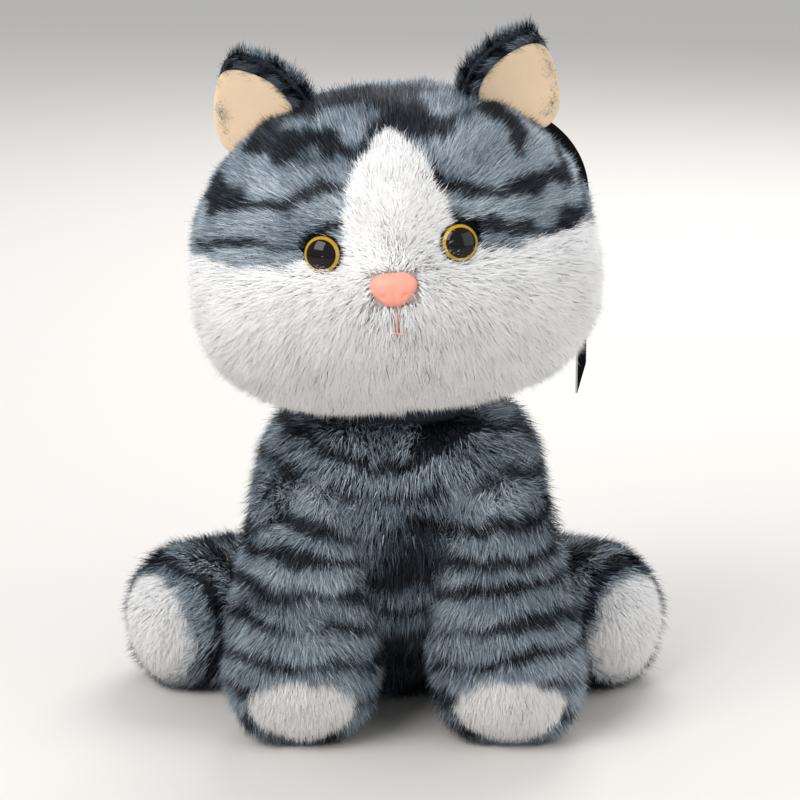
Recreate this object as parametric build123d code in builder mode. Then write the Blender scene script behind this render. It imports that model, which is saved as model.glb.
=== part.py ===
"""Sitting plush cat: sewn fur-fabric panels over stuffing, moulded eyes and nose, hang tag.

Millimetres, +Z up. The cat faces -Y, and left means the cat's own left, which is +X.
The origin lies on the flat seat, where the toy rests on a table.
"""
import os
from math import cos, radians, sin, sqrt

from build123d import *

# Driving dimensions
FABRIC = 2.5  # thickness of a panel with the packed part of its pile
HEAD_CENTRE = Vector(-2.5, -38, 198)
HEAD_SEMI_AXES = (78, 60, 62)
HEAD_ROLL = -5  # degrees about +Y, which lifts the cat's left side
NECK_PIVOT = Vector(-2.5, -32, 140)
NECK_RADIUS = 22
EYE_SPACING = 50.5
EYE_HEIGHT = 9.5
EYE_RADIUS = 7.6
SHANK_RADIUS = 2.0
NOSE_WIDTH = 19
NOSE_DROP = 6
EAR_WIDTH = 46
EAR_LENGTH = 34
EAR_THICKNESS = 6
EAR_BASE = Vector(50, 8, 46.5)
SEAT_BALL = Vector(0, 22, 52)  # the torso is two balls joined by a cone, cut flat at the seat
SEAT_BALL_RADIUS = 62
CHEST_BALL = Vector(0, -20, 83)
CHEST_BALL_RADIUS = 51
SEAT_PANEL_RADIUS = 30
SIDE_SEAM = (0, 6, 60)  # a point on the plane of the two side seams
SIDE_SEAM_LEAN = 20  # degrees from upright
TAG_WIDTH = 52
TAG_THICKNESS = 0.8

# Limbs as two joined balls: pivot ball centre, end ball centre, their radii
FRONT_SHOULDER_RADIUS = 27
FRONT_PAW_RADIUS = 31
HIND_HIP_RADIUS = 26
HIND_PAW_RADIUS = 29.5
SHOULDER = {"left": Vector(34, -44, 90), "right": Vector(-34, -44, 90)}
FRONT_PAW = {"left": Vector(43, -53, 29.5), "right": Vector(-39, -53, 29.5)}
HIP = {"left": Vector(58, 32, 28), "right": Vector(-60, 32, 28)}
HIND_PAW = {"left": Vector(79, 13, 28), "right": Vector(-84, 13, 28)}
FRONT_SWING = (-4, 30)  # degrees forward, at the stops
HIND_SWING = (-12, 12)
LIMB_CLEARANCE = 3.0
PAW_PATCH = (21, 14)
SOLE_PATCH_RADIUS = 22

TAIL_PIVOT = Vector(0, 78.5, 14)
TAIL_RADIUS = 12.5
TAIL_BEND_RADIUS = 60
TAIL_BEND_ANGLE = 85
TAIL_SEAM_RADIUS = 10
JOINT_GAP = 1.0

BIG = 400  # larger than the whole toy

os.makedirs("parts", exist_ok=True)


def write(builder, node):
    """Label a finished sub-part and write its STEP file."""
    builder.part.label = node
    export_step(builder.part, f"parts/{node}.step")


def ellipsoid(semi_axes):
    """An ellipsoid about the origin."""
    across, deep, tall = semi_axes
    with BuildPart() as body:
        Sphere(tall)
        scale(by=(across / tall, deep / tall, 1))
    return body.part


def ball(centre, radius):
    """A ball about a point."""
    with BuildPart() as body:
        with Locations(centre):
            Sphere(radius)
    return body.part


def limb(start, end, start_radius, end_radius):
    """Two balls joined by the cone that touches both."""
    span = (end - start).length
    lean = (end_radius - start_radius) / span
    side = sqrt(1 - lean * lean)
    with BuildPart() as body:
        with BuildSketch(Plane.XZ):
            with BuildLine():
                low_mid = sqrt((1 - lean) / 2) * start_radius, -sqrt((1 + lean) / 2) * start_radius
                high_mid = sqrt((1 + lean) / 2) * end_radius, span + sqrt((1 - lean) / 2) * end_radius
                low = (start_radius * side, -start_radius * lean)
                high = (end_radius * side, span - end_radius * lean)
                ThreePointArc((0, -start_radius), low_mid, low)
                Line(low, high)
                ThreePointArc(high, high_mid, (0, span + end_radius))
                Line((0, span + end_radius), (0, -start_radius))
            make_face()
        revolve(axis=Axis.Z)
    # the turn keeps the surfaces' own seam line off the planes that panels are split on
    return body.part.rotate(Axis.Z, 35).moved(Plane(origin=start, z_dir=end - start).location)


def torso_body(inset):
    """The torso, drawn in by the inset, with its flat seat."""
    with BuildPart() as body:
        add(limb(SEAT_BALL, CHEST_BALL, SEAT_BALL_RADIUS - inset, CHEST_BALL_RADIUS - inset))
        split(bisect_by=Plane.XY.offset(inset), keep=Keep.TOP)
    return body.part


# The head stands in its own plane, rolled about the line of sight
head_plane = Plane(
    origin=HEAD_CENTRE,
    x_dir=(cos(radians(HEAD_ROLL)), 0, -sin(radians(HEAD_ROLL))),
    z_dir=(sin(radians(HEAD_ROLL)), 0, cos(radians(HEAD_ROLL))),
)
head_x, head_z = head_plane.x_dir, head_plane.z_dir
face_plane = Plane(origin=HEAD_CENTRE, x_dir=head_x, z_dir=(0, -1, 0))


def head_point(x, y, z):
    """A point given in the head's own axes."""
    return HEAD_CENTRE + head_x * x + Vector(0, 1, 0) * y + head_z * z


def on_face(x, z):
    """The plane that touches the head's front at the given place, normal outward."""
    across, deep, tall = HEAD_SEMI_AXES
    y = -deep * sqrt(1 - (x / across) ** 2 - (z / tall) ** 2)
    outward = head_x * (x / across**2) + Vector(0, 1, 0) * (y / deep**2) + head_z * (z / tall**2)
    return Plane(origin=head_point(x, y, z), x_dir=head_x, z_dir=outward)


# Ears: each has a plane whose origin is on its fold line, with the lining side outward
EAR_SPREAD = 28  # degrees the ear leans outward
EAR_TURN = 32  # degrees its opening turns outward
ear_planes = {}
for side, hand in (("left", 1), ("right", -1)):
    up = head_x * (hand * sin(radians(EAR_SPREAD))) + head_z * cos(radians(EAR_SPREAD))
    facing = head_x * (hand * sin(radians(EAR_TURN))) + Vector(0, -1, 0) * cos(radians(EAR_TURN))
    facing = facing - up * facing.dot(up)
    base = head_point(hand * EAR_BASE.X, EAR_BASE.Y, EAR_BASE.Z)
    ear_planes[side] = Plane(origin=base, x_dir=up.cross(facing), z_dir=facing)
ear_fold_room = []
for side in ("left", "right"):
    plane = ear_planes[side]
    with BuildPart(Plane(origin=plane.origin, z_dir=plane.x_dir)) as fold_room:
        Cylinder(EAR_THICKNESS / 2 + JOINT_GAP, BIG / 2)
    ear_fold_room.append(fold_room.part)

# Head: outer ellipsoid, its filling, and the rooms for what is set into it
eye_planes = {}
for side, hand in (("left", 1), ("right", -1)):
    eye_planes[side] = on_face(hand * EYE_SPACING / 2, EYE_HEIGHT)
nose_plane = on_face(0, -NOSE_DROP)
WASHER_RADIUS = 6
WASHER_THICKNESS = 1.6
WASHER_DEPTH = FABRIC + 0.4
SHANK_LENGTH = 12


def shank_room(plane):
    """The hole for a shank and the pocket for its washer, behind a moulded piece."""
    with BuildPart(plane) as room:
        with Locations((0, 0, -SHANK_LENGTH / 2)):
            Cylinder(SHANK_RADIUS, SHANK_LENGTH)
        with Locations((0, 0, -WASHER_DEPTH - WASHER_THICKNESS / 2)):
            Cylinder(WASHER_RADIUS, WASHER_THICKNESS)
    return room.part


head_outside = ellipsoid(HEAD_SEMI_AXES).moved(head_plane.location)
head_inside = ellipsoid([size - FABRIC for size in HEAD_SEMI_AXES]).moved(head_plane.location)
head_rooms = [ball(NECK_PIVOT, NECK_RADIUS + JOINT_GAP), *ear_fold_room]
set_in_rooms = [shank_room(plane) for plane in (*eye_planes.values(), nose_plane)]

with BuildPart() as head_stuffing:
    add(head_inside)
    add(head_rooms + set_in_rooms, mode=Mode.SUBTRACT)
write(head_stuffing, "head_stuffing")

with BuildPart() as head_skin:
    add(head_outside)
    add([head_inside] + head_rooms + set_in_rooms, mode=Mode.SUBTRACT)

MIDDLE_SEAM = 0.5  # the centre seam is sewn a little to the left
EAR_SEAM = 8  # the face panels meet the back ones on this line, behind the head's centre
ear_seam_plane = Plane(origin=head_point(0, EAR_SEAM, 0), x_dir=head_x, z_dir=(0, 1, 0))
middle_plane = Plane(origin=head_point(MIDDLE_SEAM, 0, 0), z_dir=head_x)

with BuildPart() as muzzle_tool:
    with BuildSketch(face_plane.offset(-2 * EAR_SEAM)):
        with BuildLine():
            upper_edge = ((90, 2), (36, 3), (18, 12), (-18, 12), (-36, 3), (-90, 2))
            Polyline(*upper_edge, (-90, -90), (90, -90), close=True)
        make_face()
    extrude(amount=BIG / 2)

with BuildPart() as blaze_tool:
    with BuildSketch(face_plane):
        with BuildLine():
            Line((-18, 12), (18, 12))
            Spline((18, 12), (16, 34), (0, 50), (-16, 34), (-18, 12))
        make_face()
    extrude(amount=BIG / 2)

with BuildPart() as muzzle_panel:
    add(head_skin.part)
    split(bisect_by=ear_seam_plane, keep=Keep.BOTTOM)
    add(muzzle_tool.part, mode=Mode.INTERSECT)
write(muzzle_panel, "muzzle_panel")

with BuildPart() as blaze_panel:
    add(head_skin.part)
    add(blaze_tool.part, mode=Mode.INTERSECT)
write(blaze_panel, "blaze_panel")

for side, keep in (("left", Keep.TOP), ("right", Keep.BOTTOM)):
    with BuildPart() as forehead:
        add(head_skin.part)
        split(bisect_by=ear_seam_plane, keep=Keep.BOTTOM)
        add([muzzle_tool.part, blaze_tool.part], mode=Mode.SUBTRACT)
        split(bisect_by=middle_plane, keep=keep)
    write(forehead, f"forehead_panel_{side}")
    with BuildPart() as head_back:
        add(head_skin.part)
        split(bisect_by=ear_seam_plane, keep=Keep.TOP)
        split(bisect_by=middle_plane, keep=keep)
    write(head_back, f"head_back_panel_{side}")

# Moulded eyes with shanks, held by lock washers behind the fabric
for side, plane in eye_planes.items():
    with BuildPart(plane) as eye:
        Sphere(EYE_RADIUS)
        split(bisect_by=plane, keep=Keep.TOP)
        with Locations((0, 0, -SHANK_LENGTH / 2)):
            Cylinder(SHANK_RADIUS, SHANK_LENGTH)
    write(eye, f"eye_{side}")
    with BuildPart(plane) as washer:
        with Locations((0, 0, -WASHER_DEPTH - WASHER_THICKNESS / 2)):
            Cylinder(WASHER_RADIUS, WASHER_THICKNESS)
            Cylinder(SHANK_RADIUS, WASHER_THICKNESS, mode=Mode.SUBTRACT)
    write(washer, f"eye_washer_{side}")

NOSE_HEIGHT = 14
NOSE_DEPTH = 5.5
with BuildPart() as nose:
    with BuildSketch(nose_plane) as nose_outline:
        with BuildLine():
            half = NOSE_WIDTH / 2
            Polyline((-half, NOSE_HEIGHT / 2), (half, NOSE_HEIGHT / 2), (0, -NOSE_HEIGHT / 2), close=True)
        make_face()
        fillet(nose_outline.vertices(), 2.6)
    extrude(amount=NOSE_DEPTH)
    fillet(nose.faces().sort_by(Axis(nose_plane.origin, nose_plane.z_dir))[-1].edges(), 2)
    with BuildSketch(nose_plane):
        Circle(SHANK_RADIUS)
    extrude(amount=-SHANK_LENGTH)
write(nose, "nose")

with BuildPart(nose_plane) as nose_washer:
    with Locations((0, 0, -WASHER_DEPTH - WASHER_THICKNESS / 2)):
        Cylinder(WASHER_RADIUS, WASHER_THICKNESS)
        Cylinder(SHANK_RADIUS, WASHER_THICKNESS, mode=Mode.SUBTRACT)
write(nose_washer, "nose_washer")

THREAD_RADIUS = 0.6
with BuildPart() as mouth_stitch:
    for x, z, long, turn in ((0, -17, 5.5, 90), (2.2, -20.4, 4.4, 0)):
        stitch_plane = on_face(x, z).offset(THREAD_RADIUS + 0.1)
        with BuildSketch(stitch_plane):
            SlotOverall(long, 2 * THREAD_RADIUS, rotation=turn)
        extrude(amount=THREAD_RADIUS, both=True)
write(mouth_stitch, "mouth_stitch")

# Ears: a fur back that wraps round the rim, and a velour lining in front of it
LINING = 1.6
EAR_RIM = 5
EAR_TIP_RADIUS = 7
for side, hand in (("left", 1), ("right", -1)):
    plane = ear_planes[side]
    reach = hand * 3
    ear_corners = ((-EAR_WIDTH / 2, 0), (EAR_WIDTH / 2, 0), (reach, EAR_LENGTH + EAR_TIP_RADIUS))
    lining_corners = (
        (-EAR_WIDTH / 2 + EAR_RIM + 2, EAR_RIM),
        (EAR_WIDTH / 2 - EAR_RIM - 2, EAR_RIM),
        (reach, EAR_LENGTH),
    )
    with BuildPart() as ear_back:
        with BuildSketch(plane.offset(-EAR_THICKNESS / 2)) as ear_outline:
            with BuildLine():
                Polyline(*ear_corners, close=True)
            make_face()
            fillet(ear_outline.vertices().sort_by(Axis.Y)[-1], EAR_TIP_RADIUS)
        extrude(amount=EAR_THICKNESS)
        with BuildSketch(Plane(origin=plane.origin, z_dir=plane.x_dir)):
            Circle(EAR_THICKNESS / 2)
        extrude(amount=EAR_WIDTH / 2 - EAR_RIM, both=True)
    write(ear_back, f"ear_back_{side}")
    with BuildPart() as ear_lining:
        with BuildSketch(plane.offset(EAR_THICKNESS / 2)) as lining_outline:
            with BuildLine():
                Polyline(*lining_corners, close=True)
            make_face()
            fillet(lining_outline.vertices(), 3)
        extrude(amount=LINING)
    write(ear_lining, f"ear_lining_{side}")

# Neck: the gathered sleeve that joins head and torso
with BuildPart() as neck_sleeve:
    with Locations(NECK_PIVOT):
        Sphere(NECK_RADIUS)
write(neck_sleeve, "neck_sleeve")

# Rooms that the limbs need in the torso over their whole travel
limb_rooms = []
for side in ("left", "right"):
    for joint, end, joint_radius, end_radius, turn_axis, angles in (
        (SHOULDER, FRONT_PAW, FRONT_SHOULDER_RADIUS, FRONT_PAW_RADIUS, (-1, 0, 0), FRONT_SWING),
        (HIP, HIND_PAW, HIND_HIP_RADIUS, HIND_PAW_RADIUS, (0, 0, 1), HIND_SWING),
    ):
        for step, angle in enumerate(angles):
            room = LIMB_CLEARANCE + 0.2 * step  # no two rooms share a surface
            swept = limb(joint[side], end[side], joint_radius + room, end_radius + room)
            limb_rooms.append(swept.rotate(Axis(joint[side], turn_axis), angle))
limb_rooms.append(ball(NECK_PIVOT, NECK_RADIUS + JOINT_GAP))
limb_rooms.append(ball(TAIL_PIVOT, TAIL_SEAM_RADIUS + JOINT_GAP))

# Torso panels and filling
side_seam_plane = Plane(
    origin=SIDE_SEAM, x_dir=(1, 0, 0), z_dir=(0, cos(radians(SIDE_SEAM_LEAN)), sin(radians(SIDE_SEAM_LEAN)))
)


def cut_limb_rooms(body):
    """The body with every limb's room taken out of it."""
    with BuildPart() as cut:
        add(body)
        for room in limb_rooms:
            add(room, mode=Mode.SUBTRACT)
    return cut.part


with BuildPart() as torso_stuffing:
    add(cut_limb_rooms(torso_body(FABRIC)))
write(torso_stuffing, "torso_stuffing")

with BuildPart() as seat_panel:
    with Locations((SEAT_BALL.X, SEAT_BALL.Y, FABRIC / 2)):
        Cylinder(SEAT_PANEL_RADIUS, FABRIC)
write(seat_panel, "seat_panel")

with BuildPart() as torso_skin:
    add(torso_body(0))
    add([torso_body(FABRIC), seat_panel.part], mode=Mode.SUBTRACT)

torso_panels = {
    "chest_panel": ((side_seam_plane, Keep.BOTTOM),),
    "back_panel_left": ((side_seam_plane, Keep.TOP), (Plane.YZ, Keep.TOP)),
    "back_panel_right": ((side_seam_plane, Keep.TOP), (Plane.YZ, Keep.BOTTOM)),
}
for node, seams in torso_panels.items():
    with BuildPart() as whole_panel:
        add(torso_skin.part)
        for seam_plane, keep in seams:
            split(bisect_by=seam_plane, keep=keep)
    with BuildPart() as torso_panel:
        add(cut_limb_rooms(whole_panel.part))
    write(torso_panel, node)

# Front legs: front and back panel, white paw patch and filling
for side in ("left", "right"):
    shoulder, paw = SHOULDER[side], FRONT_PAW[side]
    leg_outside = limb(shoulder, paw, FRONT_SHOULDER_RADIUS, FRONT_PAW_RADIUS)
    leg_inside = limb(shoulder, paw, FRONT_SHOULDER_RADIUS - FABRIC, FRONT_PAW_RADIUS - FABRIC)
    leg_axis = paw - shoulder
    leg_seam_plane = Plane(origin=paw, x_dir=(1, 0, 0), z_dir=(0, -leg_axis.Z, leg_axis.Y))
    with BuildPart() as patch_tool:
        with BuildSketch(Plane(origin=paw, x_dir=(1, 0, 0), z_dir=(0, -0.9, -0.43))):
            Ellipse(*PAW_PATCH)
        extrude(amount=BIG / 4)
    with BuildPart() as paw_patch:
        add(leg_outside)
        add(leg_inside, mode=Mode.SUBTRACT)
        add(patch_tool.part, mode=Mode.INTERSECT)
        split(bisect_by=Plane.XY, keep=Keep.TOP)
    write(paw_patch, f"front_paw_patch_{side}")
    for face, keep in (("front", Keep.BOTTOM), ("back", Keep.TOP)):
        with BuildPart() as leg_panel:
            add(leg_outside)
            add([leg_inside, patch_tool.part], mode=Mode.SUBTRACT)
            split(bisect_by=Plane.XY, keep=Keep.TOP)
            split(bisect_by=leg_seam_plane, keep=keep)
        write(leg_panel, f"front_leg_{face}_panel_{side}")
    with BuildPart() as leg_stuffing:
        add(leg_inside)
    write(leg_stuffing, f"front_leg_stuffing_{side}")

# Hind legs: upper and lower panel, round white sole and filling
for side in ("left", "right"):
    hip, paw = HIP[side], HIND_PAW[side]
    leg_outside = limb(hip, paw, HIND_HIP_RADIUS, HIND_PAW_RADIUS)
    leg_inside = limb(hip, paw, HIND_HIP_RADIUS - FABRIC, HIND_PAW_RADIUS - FABRIC)
    with BuildPart() as sole_tool:
        with BuildSketch(Plane(origin=paw, z_dir=paw - hip)):
            Circle(SOLE_PATCH_RADIUS)
        extrude(amount=BIG / 4)
    with BuildPart() as sole_patch:
        add(leg_outside)
        add(leg_inside, mode=Mode.SUBTRACT)
        add(sole_tool.part, mode=Mode.INTERSECT)
    write(sole_patch, f"hind_sole_patch_{side}")
    for face, keep in (("upper", Keep.TOP), ("lower", Keep.BOTTOM)):
        with BuildPart() as leg_panel:
            add(leg_outside)
            add([leg_inside, sole_tool.part], mode=Mode.SUBTRACT)
            split(bisect_by=Plane.XY, keep=Keep.TOP)
            split(bisect_by=Plane.XY.offset(paw.Z), keep=keep)
        write(leg_panel, f"hind_leg_{face}_panel_{side}")
    with BuildPart() as leg_stuffing:
        add(leg_inside)
    write(leg_stuffing, f"hind_leg_stuffing_{side}")

# Tail: a bent tube with a round tip, on a gathered seam
tail_start = TAIL_PIVOT + Vector(0, TAIL_SEAM_RADIUS - 2, 0)
tail_bend_centre = tail_start + Vector(-TAIL_BEND_RADIUS, 0, 0)
bend = radians(TAIL_BEND_ANGLE)
tail_tip = tail_bend_centre + Vector(cos(bend), sin(bend), 0) * TAIL_BEND_RADIUS


def tail_body(radius):
    """The tail's tube and tip."""
    with BuildPart() as body:
        with BuildLine():
            half_bend = bend / 2
            half_way = tail_bend_centre + Vector(cos(half_bend), sin(half_bend), 0) * TAIL_BEND_RADIUS
            ThreePointArc(tail_start, half_way, tail_tip)
        with BuildSketch(Plane(origin=tail_start, z_dir=(0, 1, 0))):
            Circle(radius)
        sweep()
        with Locations(tail_tip):
            Sphere(radius)
        add(ball(TAIL_PIVOT, TAIL_SEAM_RADIUS + JOINT_GAP), mode=Mode.SUBTRACT)
    return body.part


with BuildPart() as tail_seam:
    with Locations(TAIL_PIVOT):
        Sphere(TAIL_SEAM_RADIUS)
write(tail_seam, "tail_seam")

with BuildPart() as tail_stuffing:
    add(tail_body(TAIL_RADIUS - FABRIC))
write(tail_stuffing, "tail_stuffing")

with BuildPart() as tail_skin:
    add(tail_body(TAIL_RADIUS))
    add(tail_stuffing.part, mode=Mode.SUBTRACT)
write(tail_skin, "tail_skin")

# Ladder stitches that close the back, after filling
STITCH_PITCH = 4
STITCH_LENGTH = 5
STITCH_RADIUS = 0.4
back_y = SEAT_BALL.Y + SEAT_BALL_RADIUS
with BuildPart() as closing_stitches:
    rows = [SEAT_BALL.Z + row * STITCH_PITCH for row in (-2, -1, 0, 1, 2)]
    with Locations(*[(0, back_y + STITCH_RADIUS, height) for height in rows]):
        Cylinder(STITCH_RADIUS, STITCH_LENGTH, rotation=(0, 90, 0))
write(closing_stitches, "closing_stitches")

# Blank satin care label, sewn into the seam above the seat
LABEL_SIZE = (15, 26, 0.6)
with BuildPart(Plane(origin=(34, 70, 6))) as care_label:
    with Locations(Location((0, LABEL_SIZE[1] / 2, 0))):
        Box(*LABEL_SIZE)
write(care_label, "care_label")

# Hang tag: a bent card beside the head, on a plastic loop that pivots in the fabric
TAG_TOP = Vector(54, 0, 235)
TAG_SIDE_X = 73
TAG_BEND_END = 203
TAG_FOOT = 131
TAG_NEAR_Y = -12
LOOP_RADIUS = 8
LOOP_THREAD = 0.7
LOOP_CENTRE = Vector(52, 4, 230)
TAG_HOLE = 3
with BuildPart() as hang_tag_card:
    with BuildLine(Plane.XZ) as card_line:
        Line((TAG_SIDE_X, TAG_FOOT), (TAG_SIDE_X, TAG_BEND_END))
        TangentArc((TAG_SIDE_X, TAG_BEND_END), (TAG_TOP.X, TAG_TOP.Z), tangent=(0, 1))
    with BuildSketch(Plane(origin=(TAG_SIDE_X, TAG_NEAR_Y + TAG_WIDTH / 2, TAG_FOOT), z_dir=(0, 0, 1))):
        Rectangle(TAG_THICKNESS, TAG_WIDTH)
    sweep(path=card_line.wires()[0])
    with Locations(LOOP_CENTRE + Vector(LOOP_RADIUS, 0, 0)):
        Sphere(TAG_HOLE, mode=Mode.SUBTRACT)
write(hang_tag_card, "hang_tag_card")

with BuildPart(Plane(origin=LOOP_CENTRE, z_dir=(0, 1, 0))) as hang_tag_loop:
    Torus(LOOP_RADIUS, LOOP_THREAD)
write(hang_tag_loop, "hang_tag_loop")
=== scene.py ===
"""Looks for the sitting plush cat: cloth skins, long-pile fur, moulded eyes and nose, hang tag.

Metres in the CAD frame, +Z up, the cat faces -Y, and left is the cat's own left (+X).
Fur is made of real tapered strands, a flat root blade and a tip, grown on each cloth skin.
"""

import logging
import math
from dataclasses import dataclass, field
from enum import Enum
from typing import Callable, Sequence

import bpy
import numpy as np
from mathutils import Matrix, Vector


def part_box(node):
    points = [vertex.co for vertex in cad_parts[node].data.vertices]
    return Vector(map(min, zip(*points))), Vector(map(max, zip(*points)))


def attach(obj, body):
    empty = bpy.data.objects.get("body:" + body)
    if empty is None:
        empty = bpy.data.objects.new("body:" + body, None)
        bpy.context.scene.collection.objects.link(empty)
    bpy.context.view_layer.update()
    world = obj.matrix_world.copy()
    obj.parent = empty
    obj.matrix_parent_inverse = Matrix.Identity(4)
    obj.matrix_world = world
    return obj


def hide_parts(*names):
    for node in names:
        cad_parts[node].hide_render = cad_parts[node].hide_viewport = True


log = logging.getLogger("plush_cat")
MM = 0.001
SEED = 20577
SIDES = (("left", 1.0), ("right", -1.0))
Array = np.ndarray
Field = Callable[[Array], Array]


class Sheen(Enum):
    """How much soft edge light a finish gives back."""

    NONE = 0.0
    SOFT = 0.25


def linear(channel: float) -> float:
    """Turn one 0 to 255 screen value into scene light.

    Args:
        channel: the value as seen on a screen.

    Returns:
        The linear value from 0 to 1.
    """
    share = channel / 255.0
    return share / 12.92 if share <= 0.04045 else ((share + 0.055) / 1.055) ** 2.4


def colour(red: float, green: float, blue: float) -> tuple[float, float, float, float]:
    """Give a linear colour with full cover from screen values.

    Args:
        red: 0 to 255.
        green: 0 to 255.
        blue: 0 to 255.

    Returns:
        Linear red, green, blue and 1.
    """
    return (linear(red), linear(green), linear(blue), 1.0)


@dataclass(frozen=True)
class Finish:
    """A plain finish whose constants sit on the shader socket itself."""

    name: str
    tint: tuple[float, float, float, float]
    roughness: float = 0.6
    specular: float = 0.4
    coat: float = 0.0
    sheen: Sheen = Sheen.NONE
    bump: float = 0.0
    grain: float = 900.0

    def material(self) -> bpy.types.Material:
        """Build the material once and reuse it.

        Returns:
            The node material.
        """
        own_name = f"look_{self.name}"
        found = bpy.data.materials.get(own_name)
        if found:
            return found
        made = bpy.data.materials.new(own_name)
        made.use_nodes = True
        nodes, links = made.node_tree.nodes, made.node_tree.links
        shader = nodes["Principled BSDF"]
        shader.inputs["Base Color"].default_value = self.tint
        shader.inputs["Roughness"].default_value = self.roughness
        shader.inputs["Specular IOR Level"].default_value = self.specular
        shader.inputs["Coat Weight"].default_value = self.coat
        shader.inputs["Coat Roughness"].default_value = 0.03
        shader.inputs["Sheen Weight"].default_value = self.sheen.value
        if self.bump:
            place = nodes.new("ShaderNodeTexCoord")
            noise = nodes.new("ShaderNodeTexNoise")
            noise.inputs["Scale"].default_value = self.grain
            noise.inputs["Detail"].default_value = 4.0
            bump = nodes.new("ShaderNodeBump")
            bump.inputs["Strength"].default_value = self.bump
            bump.inputs["Distance"].default_value = 0.2 * MM
            links.new(place.outputs["Object"], noise.inputs["Vector"])
            links.new(noise.outputs["Fac"], bump.inputs["Height"])
            links.new(bump.outputs["Normal"], shader.inputs["Normal"])
        return made


@dataclass(frozen=True)
class Palette:
    """A row of fur shades from darkest to lightest."""

    name: str
    keys: tuple[tuple[float, float, float], ...]
    steps: int = 12
    roughness: float = 0.5

    def materials(self) -> list[bpy.types.Material]:
        """Build one plain shade for each step.

        Returns:
            The materials, dark to light.
        """
        made = []
        spots = np.linspace(0, len(self.keys) - 1, self.steps)
        for step, spot in enumerate(spots):
            low = min(int(spot), len(self.keys) - 2)
            darker, lighter = np.array(self.keys[low]), np.array(self.keys[low + 1])
            mix = darker * (1 - spot + low) + lighter * (spot - low)
            shade = Finish(f"{self.name}_{step:02d}", colour(*mix), self.roughness, 0.12)
            made.append(shade.material())
        return made


TABBY = Palette("tabby_fur", ((11, 12, 16), (36, 40, 48), (88, 99, 110), (140, 154, 166), (212, 220, 226)))
WHITE = Palette("white_fur", ((240, 235, 231), (250, 248, 246), (255, 254, 253)), 6, 0.7)
# Dark cloth under the tabby fur, as dark as the strand roots: partly the backing's own colour, partly
# painted shade that shows through the gaps between strands as the shadow deep in the pile.
TABBY_CLOTH_AND_SHADE = Finish("tabby_cloth", colour(40, 45, 53), 0.9, 0.1, bump=0.3)
WHITE_CLOTH = Finish("white_cloth", colour(248, 245, 242), 0.9, 0.1, bump=0.3)
VELOUR = Finish("beige_velour", colour(226, 200, 168), 0.85, 0.15, sheen=Sheen.SOFT, bump=0.5, grain=1400.0)
PUPIL = Finish("eye_black", colour(10, 7, 6), 0.05, 0.28)
IRIS = Finish("eye_yellow", colour(178, 138, 14), 0.15, 0.45)
NOSE = Finish("nose_plastic", colour(238, 156, 136), 0.42, 0.35, coat=0.1, bump=0.08, grain=300.0)
PINK_THREAD = Finish("pink_thread", colour(222, 158, 146), 0.7, 0.2, bump=0.5, grain=2500.0)
GREY_THREAD = Finish("grey_thread", colour(60, 66, 74), 0.7, 0.2, bump=0.5, grain=2500.0)
WASHER = Finish("lock_washer", colour(226, 226, 222), 0.5, 0.4)
CARD = Finish("black_card", colour(16, 16, 18), 0.95, 0.0)
CARD_EDGE = Finish("card_edge", colour(205, 200, 190), 0.7, 0.2)
LOOP = Finish("clear_loop", colour(215, 215, 215), 0.2, 0.5)
SATIN = Finish("satin_label", colour(236, 234, 228), 0.4, 0.4, sheen=Sheen.SOFT, bump=0.2, grain=2000.0)


def unit(vectors: Array) -> Array:
    """Scale each row to length one.

    Args:
        vectors: rows of x, y, z.

    Returns:
        The rows at unit length.
    """
    return vectors / np.maximum(np.linalg.norm(vectors, axis=-1, keepdims=True), 1e-9)


def ripple(points: Array, wave: float, phase: float) -> Array:
    """Smooth repeatable noise from -1 to 1.

    Args:
        points: places in metres.
        wave: rough size of a patch in metres.
        phase: picks another pattern.

    Returns:
        One value for each place.
    """
    k = 2 * math.pi / wave
    turns = ((0.8, 0.36, 0.48), (-0.48, 0.86, 0.16), (-0.36, -0.35, 0.86))
    x, y, z = (points @ np.array(turn) for turn in turns)
    first = np.sin(k * x + phase + 1.7 * np.sin(0.61 * k * y + 2.1 * phase))
    second = np.sin(0.83 * k * y + 1.3 * phase + 1.5 * np.sin(0.57 * k * z + phase))
    third = np.sin(1.13 * k * z + 0.7 * phase + 1.3 * np.sin(0.71 * k * x + 3.0 * phase))
    return (first + second + third) / 3


def smooth_step(low: float, high: float, values: Array) -> Array:
    """Rise smoothly from 0 to 1 between two values.

    Args:
        low: where the rise starts.
        high: where it ends.
        values: what to read.

    Returns:
        Values from 0 to 1.
    """
    share = np.clip((values - low) / (high - low), 0, 1)
    return share * share * (3 - 2 * share)


@dataclass(frozen=True)
class Blob:
    """One rounded lump of a stuffed form."""

    centre: tuple[float, float, float]
    radii: tuple[float, float, float]
    power: float = 2.0
    power_low: float = 2.0


def edit_mesh(name: str) -> bpy.types.Object:
    """Name the object that was just added.

    Args:
        name: the piece's name.

    Returns:
        The active object.
    """
    made = bpy.context.object
    made.name = name
    made.data.name = name
    return made


def apply_place(made: bpy.types.Object) -> None:
    """Move an object's place into its mesh.

    Args:
        made: the object.
    """
    bpy.ops.object.select_all(action="DESELECT")
    made.select_set(True)
    bpy.context.view_layer.objects.active = made
    bpy.ops.object.transform_apply(location=True, rotation=True, scale=True)
    bpy.context.scene.cursor.location = (0, 0, 0)
    bpy.ops.object.origin_set(type="ORIGIN_CURSOR")


def vertices_of(made: bpy.types.Object) -> Array:
    """Read a mesh's vertices.

    Args:
        made: the mesh object.

    Returns:
        Rows of x, y, z.
    """
    flat = np.empty(len(made.data.vertices) * 3, np.float32)
    made.data.vertices.foreach_get("co", flat)
    return flat.reshape(-1, 3).astype(float)


def set_vertices(made: bpy.types.Object, places: Array) -> None:
    """Write a mesh's vertices.

    Args:
        made: the mesh object.
        places: rows of x, y, z.
    """
    made.data.vertices.foreach_set("co", places.astype(np.float32).ravel())
    made.data.update()


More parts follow.
